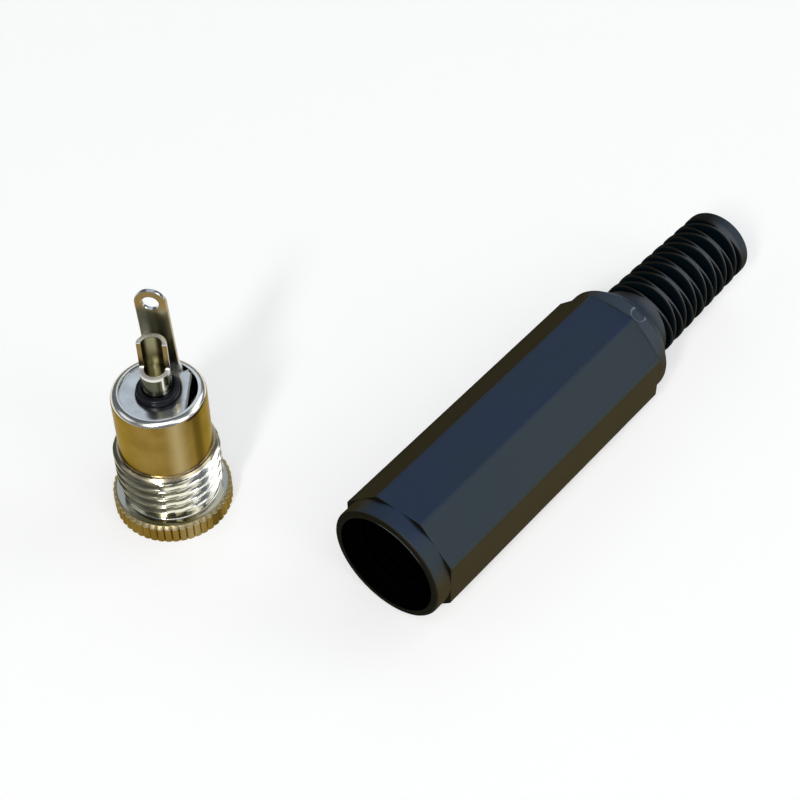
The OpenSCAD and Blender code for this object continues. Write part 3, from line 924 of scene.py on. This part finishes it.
def pinFinish():
    size, tones = pinSet, pinSet["tones"]
    material, tree = newFinish("platedPin")
    spot = spotOn(tree)
    x, y, z = split(spot)
    radius = (x * x + y * y) ** 0.5
    cup, cupFloor, cupTop = take(size, "cup cupFloor cupTop")
    side = photoSide(x, y) / size["tail"]
    behind = lugSpot(x, y)[1]
    up = z - size["scoop"]
    level = step(split(facing(tree, "True Normal"))[2].math("ABSOLUTE"), 0.3, 0.7)
    rim = step(z, cupTop - 0.13, cupTop - 0.08)
    hollow = (1 - step(radius, cup + 0.01, cup + 0.03)) * step(z, cupFloor - 0.1, cupFloor - 0.05)
    sawn = band(behind, -0.02, 0.1, 0.02) * step(up, 0.1, 0.2) * step(radius, cup, cup + 0.03)
    ledge = level * band(up, -0.1, 0.14, 0.03)
    centre = 1 - step((side + 0.03).math("ABSOLUTE"), 0.22, 0.5)
    streak = (1 - step((side - 0.05).math("ABSOLUTE"), 0.03, 0.14)) * (1 - step(up, 0.0, 0.9))
    cloud = noise(spot, 0.55, detail=4.0)
    fine = noise(spot, 4.0, rough=0.6, stretch=(0.3, 0.3, 4.0))
    silver = mixColour(step(cloud, 0.3, 0.7), tones["silverDark"], tones["silverLight"])
    # painted reflection on the pin's side: dark olive, a painted shade band and a painted highlight stripe,
    # as seen from the camera
    warm = layered(
        mixColour(step(cloud, 0.35, 0.65), tones["tailDark"], tones["tailLight"]),
        (band(side, 0.0, 0.2, 0.1), tones["tailShade"]),
        (band(side, 0.32, 0.62, 0.05), tones["tailGlint"]),
        (step(up, -0.3, -0.2), tones["cupWall"]),
        # the milled face: painted shade low down, painted warm reflection higher up
        (sawn, mixColour(step(up, 0.4, 1.6), tones["milledLow"], tones["milledHigh"])))
    # painted reflection in the cup: dark sides, a lighter middle and a painted highlight streak
    olive = layered(
        mixColour(centre, tones["hollowSide"], tones["hollowMiddle"]),
        (streak * 0.7, tones["hollowStreak"]))
    colour = layered(
        silver,
        (step(z, 12.0, 13.0) * (1 - level) * (1 - rim), warm),
        (hollow, olive),
        # painted highlight on the mill's floor
        (ledge * (1 - hollow), tones["ledge"]))
    rough = 0.12 + 0.12 * fine + 0.25 * hollow + 0.4 * ledge + 0.2 * rim
    closeFinish(tree, {"Metallic": 1.0}, colour, rough, bump(fine, 0.06))
    return material


def makePin():
    points = turned(pinPoints(), sheetSet["turn"] - sheetSet["lugTurn"])
    pin = gridPiece("pinTurned", points, wrapColumns=True)
    mergePoints(pin)
    shapeBy(pin, bevelled(*pinSet["bevel"]))
    smoothByAngle(pin, pinSet["smooth"])
    stand(pin, "centre_pin", pinFinish())


makePin()
print("pin made")

# handle: one surface from the mouth along the outside to the tail and back through the bore
handleSet = {
    "axis": (21.46, 2.88, 5.40),  # x and z of its axis, and y of its mouth in the middle
    "flat": 5.40,
    "cornerRound": 0.45,
    "mouth": 5.38,
    "mouthEnd": 1.65,
    "mouthStep": 0.05,
    "riseStart": 0.5,  # where the mouth starts to rise to the flats, and over what length
    "riseLength": 1.1,
    "bodyEnd": 30.60,
    "rear": 5.30,
    "rearEnd": 32.10,
    "rearRound": 0.25,
    "dome": 4.85,
    "reliefRoot": 3.75,
    "reliefTail": 3.35,
    "tail": 48.22,
    "edge": 0.3,
    "counterbore": 4.68,
    "counterboreEnd": 1.2,
    "threadIn": 4.05,
    "threadOut": 4.45,
    "threadEnd": 7.0,
    "threadRows": 57,
    "pitch": 1.0,
    "crestHalf": 0.08,  # crest and flank in shares of the pitch
    "flank": 0.34,
    "wire": 4.3,
    "wireEnd": 27.15,
    "cableStart": 30.55,
    "cable": 2.1,
    "slotFirst": 1.5,
    "slotStep": 0.85,
    "slotRows": 15,
    "slotHalf": 0.61,
    "slotEnd": 77.0,
    "slotDraft": 0.1,
    "slotCore": 2.45,
    "slotFloor": 0.6,
    "slotLip": [(0.075, 0.0), (0.03, 0.012), (0.0, 0.06)],  # outward from a slot's edge, and down
    "slotShut": (0.075, 0.05, 0.03, 0.01),  # how near to its middle a slot's rows lie past its ends
    "slotClosing": 0.06,
    "gateAngle": 22.5,
    "gatePlace": 31.72,
    "gateRadius": 0.65,
    "gateDepth": 0.2,
    "gateLip": 0.03,
    "gateSoft": 0.1,  # how wide the mark's edge and its lip are
    "gateSpan": 9.4,  # degrees to each side of the mark with more angles, and how many
    "gateAngles": 16,
    "flatAngles": 21,  # on each flat, then rows along the flats, the rear collar and the dome
    "flatRows": 12,
    "rearRows": 14,
    "domeRows": 10,
    "smooth": 50,
    "lightFrom": (0.57, 0.822),  # right and up, as the strain relief's lands catch the light
    "glintFrom": (0.34, 0.94),  # the same for the mouth's inner edge
    "tones": {
        "slope": (0.019, 0.032, 0.040),
        # up-facing faces painted navy, a painted reflection of a bluish ceiling
        "top": (0.014, 0.027, 0.060),
        "haze": (0.018, 0.032, 0.046),
        # painted shade on the mouth's collar just before its step, at each corner of the body
        "mouthStep": (0.003, 0.004, 0.006),
        # the rear collar's upper side painted lighter and bluer, a painted reflection
        "collar": (0.052, 0.070, 0.085),
        "collarLine": (0.008, 0.012, 0.018),
        # painted highlight on the lands that face the light
        "landDark": (0.010, 0.010, 0.008),
        "landLight": (0.048, 0.057, 0.066),
        "tail": (0.020, 0.028, 0.042),
        "gate": (0.20, 0.24, 0.27),
        # the steep faces lose their shine for a flat brown olive, a painted reflection, lighter on the right
        "left": (0.041, 0.031, 0.009),
        "right": (0.052, 0.037, 0.010),
        # painted shade: the faces towards the front near black
        "front": (0.009, 0.0075, 0.002),
        # painted light: the relief's steep lands darker on the left, lighter on the right
        "landLeft": (0.014, 0.013, 0.010),
        "landRight": (0.032, 0.031, 0.025),
        # painted shade: the slots and the bore near black, without shine
        "slot": (0.002, 0.006, 0.009),
        "bore": (0.0006, 0.0007, 0.001),
        "mouthGlint": (0.13, 0.14, 0.14),
    },
}
eighth = math.pi / 8  # from the middle of a flat to its corner


def cornerSpan():  # half angle that a rounded corner takes
    size = handleSet
    return eighth - math.atan(math.tan(eighth) * (1 - size["cornerRound"] / size["flat"]))


def octagon(angle):  # radius of the rounded eight-sided outline at angles from a flat's middle
    size = handleSet
    fromFlat = np.abs((angle + eighth) % (2 * eighth) - eighth)
    fromCorner = eighth - fromFlat
    middle = (size["flat"] - size["cornerRound"]) / math.cos(eighth)  # of the corner's arc
    inside = np.clip(size["cornerRound"] ** 2 - (middle * np.sin(fromCorner)) ** 2, 0, None)
    arc = middle * np.cos(fromCorner) + np.sqrt(inside)
    return np.where(fromCorner < cornerSpan(), arc, size["flat"] / np.cos(fromFlat))


def reliefStart():  # where the dome ends and the strain relief starts
    size = handleSet
    return size["rearEnd"] + size["dome"] - size["reliefRoot"]


def reliefSlope():  # how its radius changes along the axis
    size = handleSet
    return (size["reliefTail"] - size["reliefRoot"]) / (size["tail"] - reliefStart())


def slotHalf(delta, radius, surface):
    # half width of a slot at angle delta from its middle: a lens of two arcs that narrows with depth
    size = handleSet
    half, draft, end = size["slotHalf"], size["slotDraft"], math.radians(size["slotEnd"])
    reach, drop = surface * math.sin(end), draft * surface * (1 - math.cos(end))
    arc = (reach ** 2 + half ** 2 - drop ** 2) / (2 * (half - drop))
    here = arc - draft * (surface - radius * np.cos(delta))
    return np.sqrt(here ** 2 - (radius * np.sin(delta)) ** 2) - (arc - half)


def slotRows(row, angle):  # places and radii of the eight rows that shape one slot
    size = handleSet
    start, slope = reliefStart(), reliefSlope()
    middle = start + size["slotFirst"] + row * size["slotStep"]
    surface = size["reliefRoot"] + slope * (middle - start)
    centre = eighth + (math.pi / 2 if row % 2 == 0 else 0)
    delta = np.abs((angle - centre + math.pi / 2) % math.pi - math.pi / 2)
    edge = np.clip(slotHalf(delta, surface, surface), 0, None)
    floor = np.maximum(size["slotCore"], size["slotFloor"] / np.maximum(np.cos(delta), 0.05))
    floor = np.clip(floor, 0, surface)
    low = np.clip(slotHalf(delta, floor, surface), 0, 0.5)
    openness = ease(edge / size["slotClosing"])
    shut = np.array(size["slotShut"])[:, None]
    wide = np.stack([edge + out for out, down in size["slotLip"]] + [low])
    deep = np.stack([np.full_like(edge, down) for out, down in size["slotLip"]] + [surface - floor])
    offset, deep = shut + (wide - shut) * openness, deep * openness
    along = np.concatenate([middle - offset, middle + offset[::-1]])
    return along, surface + slope * (along - middle) - np.concatenate([deep, deep[::-1]])


def handleAngles():  # angles from up to the right, closer at the corners and at the gate mark
    size = handleSet
    span = math.degrees(cornerSpan())
    flat = np.linspace(span, 45 - span, size["flatAngles"])
    sector = np.concatenate([[0, span / 2], flat, [45 - span / 2]])
    even = (22.5 + 45 * np.arange(8)[:, None] + sector[None]).ravel()
    gate = size["gateAngle"] + np.linspace(-size["gateSpan"], size["gateSpan"], size["gateAngles"])
    return np.radians(np.sort(np.concatenate([even, gate]) % 360))


def bodyRows(angle):  # from the counterbore round the mouth, over the collar and the eight flats
    mouth, mouthEnd, mouthStep, bodyEnd = take(handleSet, "mouth mouthEnd mouthStep bodyEnd")
    bored, boredEnd = take(handleSet, "counterbore counterboreEnd")
    riseStart, riseLength = take(handleSet, "riseStart riseLength")
    front = filletPath(
        [(bored, boredEnd - 0.05), (bored, 0), (mouth, 0), (mouth, mouthEnd)],
        rounds=[0.07, handleSet["edge"]], steps=7)
    eight = octagon(angle)
    over = eight - mouth  # how far the body stands over its mouth
    level = np.clip(1 - over / mouthStep, 0, 1)  # 1 where collar and flat are level
    rows = []
    for radius, along in front:
        rise = np.clip((along - riseStart) / riseLength, 0, 1) if radius > mouth - 0.01 else 0
        rows.append((along, radius + level * rise * over))
    edge = np.clip(over / 3, 0, mouthStep)  # the step and its rounding fade out towards each flat
    rows += [(mouthEnd + back * edge, eight - down * edge) for back, down in ((0, 1), (0.3, 0.3), (1, 0))]
    places = np.linspace(mouthEnd + 0.12, bodyEnd - 0.06, handleSet["flatRows"])
    rows += [(along, eight) for along in places]
    return rows + [(bodyEnd - 0.018, eight - 0.018), (bodyEnd, eight - 0.06)]


def collarRows():  # the rear collar and the dome
    bodyEnd, rear, rearEnd, rearRound = take(handleSet, "bodyEnd rear rearEnd rearRound")
    wide, root = take(handleSet, "dome reliefRoot")
    turn = np.linspace(0, math.pi / 2, handleSet["domeRows"] + 1)[1:]
    dome = np.stack([root + (wide - root) * np.cos(turn), rearEnd + (wide - root) * np.sin(turn)], -1)
    edge = filletPath(
        [(rear, bodyEnd + 0.02), (rear, rearEnd), (wide, rearEnd)],
        rounds=[rearRound], steps=6)
    places = np.linspace(bodyEnd + 0.08, rearEnd - 0.3, handleSet["rearRows"])
    collar = np.stack([np.full_like(places, rear), places], -1)
    return [(along, radius) for radius, along in np.concatenate([edge[:1], collar, edge[1:], dome])]


def boreRows(angle):
    # from the tail's edge through the cable's hole, the wire space and the thread to the counterbore;
    # thread radius = inside + depth * groove(place / pitch - angle / turn)
    size = handleSet
    tail, tailRadius, cable, wire = take(size, "tail reliefTail cable wire")
    bored, boredEnd, threadIn, threadOut, threadEnd = take(
        size, "counterbore counterboreEnd threadIn threadOut threadEnd")
    end = filletPath(
        [(tailRadius + 0.02, tail - 0.75), (tailRadius, tail), (cable, tail), (cable, tail - 0.3)],
        rounds=[size["edge"], 0.08], steps=6)
    space = [(cable, size["cableStart"]), (wire, size["wireEnd"]), (wire, threadEnd), (threadIn, threadEnd)]
    rows = [(along, radius) for radius, along in np.concatenate([end, space])]
    places = np.linspace(threadEnd - 0.1, boredEnd + 0.1, size["threadRows"])[:, None]
    phase = places / size["pitch"] - angle / (2 * math.pi)
    away = np.abs(phase - np.round(phase))
    groove = ease((away - size["crestHalf"]) / size["flank"])
    rows += list(zip(places, threadIn + (threadOut - threadIn) * groove))
    return rows + [(boredEnd, threadOut), (boredEnd, bored - 0.02)]


def gateMark(along, radius, angle):  # sinks a round mark into the rear collar, with a slight lip round it
    size = handleSet
    wide, deep, soft = take(size, "gateRadius gateDepth gateSoft")
    turn = angle - math.radians(size["gateAngle"])
    away = np.hypot(radius * np.sin(turn), along - size["gatePlace"])
    near = (np.cos(turn) > 0) & (radius > size["dome"] - 0.2) & (along > size["bodyEnd"] + 0.01)
    floor = size["rear"] - deep + deep * np.clip((away - wide + soft / 2) / soft, 0, 1)
    lip = size["gateLip"] * np.clip(1 - np.abs(away - wide - soft) / soft, 0, 1)
    lip = lip * (along < size["rearEnd"] - size["rearRound"])
    sunk = np.where(away < wide + soft / 2, np.minimum(radius, floor), radius + lip)
    return np.where(near, sunk, radius)


def handlePoints():
    # point = axis + (radius * sin angle, along, radius * cos angle);
    # a row is its place along the axis and its radius at each angle
    size = handleSet
    angle = handleAngles()
    rows = bodyRows(angle) + collarRows()
    for row in range(size["slotRows"]):
        rows += list(zip(*slotRows(row, angle)))
    rows += boreRows(angle)
    along, radius = [np.stack([np.broadcast_to(row[i], angle.shape) for row in rows]) for i in range(2)]
    radius = gateMark(along, radius, angle[None])
    x, y, z = size["axis"]
    return np.stack([x + radius * np.sin(angle), y + along, z + radius * np.cos(angle)], -1) * mm


def gateGlint(right, along, up, radius):  # the mark's bright rim, open towards the tail
    size = handleSet
    angle, wide = math.radians(size["gateAngle"]), size["gateRadius"]
    across = right * math.cos(angle) - up * math.sin(angle)
    beyond = along - size["gatePlace"]
    ring = band((across * across + beyond * beyond) ** 0.5, wide - 0.03, wide + 0.11, 0.05)
    onTop = step(up, 0.0, 0.5) * step(radius, 5.0, 5.1)
    return ring * onTop * (1 - step(beyond, 0.25, 0.4))


def handleFinish():
    size, tones = handleSet, handleSet["tones"]
    material, tree = newFinish("blackMoulding")
    spot = spotOn(tree)
    right, along, up = [part - middle for part, middle in zip(split(spot), size["axis"])]
    radius = (right * right + up * up) ** 0.5
    sideways, endways, upward = split(facing(tree, "Normal"))
    mouth, mouthEnd, bodyEnd, rearEnd = take(size, "mouth mouthEnd bodyEnd rearEnd")
    root, tail, bored, cable, cableStart = take(size, "reliefRoot tail counterbore cable cableStart")
    start = reliefStart()
    cloud = noise(spot, 0.22, detail=4.0)
    grain = noise(spot, 9.0)

    # where things are
    corner = (right.math("ARCTAN2", up) * 8 - math.pi).math("COSINE")  # 1 at each corner of the body
    # painted shade: the corners darkened on the mouth's collar just before the step
    mouthStep = step(corner, -0.1, 0.8) * band(along, mouthEnd - 0.15, mouthEnd + 0.05, 0.09)
    mouthStep = mouthStep * (1 - step(radius, mouth + 0.04, mouth + 0.12))
    collar = band(along, bodyEnd, rearEnd, 0.05)
    collarLine = either(band(along, bodyEnd - 0.12, bodyEnd + 0.16, 0.05) * 0.8,
                        band(along, rearEnd - 0.17, rearEnd, 0.05) * 0.5)  # the shadow at each side of it
    relief = step(along, start + 0.3, start + 1.3)
    toLight = step(sideways * size["lightFrom"][0] + upward * size["lightFrom"][1], 0.60, 0.98)
    slot = band(along, start + 0.25, tail - 0.62, 0.05)
    slot = slot * (1 - step(radius - reliefSlope() * (along - start), root - 0.2, root - 0.07))
    bore = 1 - step(along, cableStart + 0.45, cableStart + 0.55)
    bore = bore * (1 - step(radius, bored + 0.02, bored + 0.05))
    bore = either(bore, 1 - step(radius, cable + 0.02, cable + 0.1))
    mouthGlint = band(radius, bored + 0.01, bored + 0.15, 0.02) * (1 - step(along, 0.06, 0.12))
    mouthGlint = mouthGlint * step(right * size["glintFrom"][0] + up * size["glintFrom"][1], 4.0, 4.65)
    toFront = (1 - step(endways, -0.75, -0.2)) * (1 - relief)  # the rim at the mouth
    steep = either(1 - step(upward, 0.1, 0.62), 1 - step(sideways, -0.68, -0.3), toFront)
    unlit = steep * (0.93 - 0.07 * step(sideways, 0.0, 0.5))
    dull = either(slot, bore, unlit, relief * (1 - toLight) * 0.9)

    # painted highlight on the relief's lands that face the light
    land = layered(
        mixColour(toLight, tones["landDark"], tones["landLight"]),
        (step(along, tail - 1.22, tail - 0.92), tones["tail"]))
    colour = layered(
        # painted reflection: faces that look up painted navy
        mixColour(step(upward, 0.66, 0.95), tones["slope"], tones["top"]),
        (step(cloud, 0.35, 0.65) * 0.4, tones["haze"]),
        # painted shade at the corners by the mouth's step
        (mouthStep * 0.85, tones["mouthStep"]),
        # painted reflection: the rear collar lighter and bluer
        (collar * 0.4, tones["collar"]),
        (collarLine, tones["collarLine"]),
        (relief, land),
        (gateGlint(right, along, up, radius) * 0.8, tones["gate"]))
    dullColour = layered(
        # painted reflection: steep faces brown olive, lighter on the right
        mixColour(step(sideways, -0.2, 0.3), tones["left"], tones["right"]),
        # painted shade on the faces towards the front
        (1 - step(endways, -0.8, -0.4), tones["front"]),
        # painted light on the relief's steep lands, lighter on the right
        (relief, mixColour(step(sideways, 0.5, 0.9), tones["landLeft"], tones["landRight"])),
        # painted shade in the slots and the bore
        (slot, tones["slot"]),
        (bore, tones["bore"]),
        (mouthGlint, tones["mouthGlint"]))
    rough = 0.46 + 0.10 * cloud
    closeFinish(tree, {"Specular IOR Level": 0.25}, colour, rough, bump(grain, 0.12, 0.04),
                dull, dullColour)
    return material


def makeHandle():
    handle = gridPiece("handleMoulded", handlePoints(), wrapRows=True, wrapColumns=True)
    mergePoints(handle)
    smoothByAngle(handle, handleSet["smooth"])
    stand(handle, "handle", handleFinish())


makeHandle()
print("handle made")
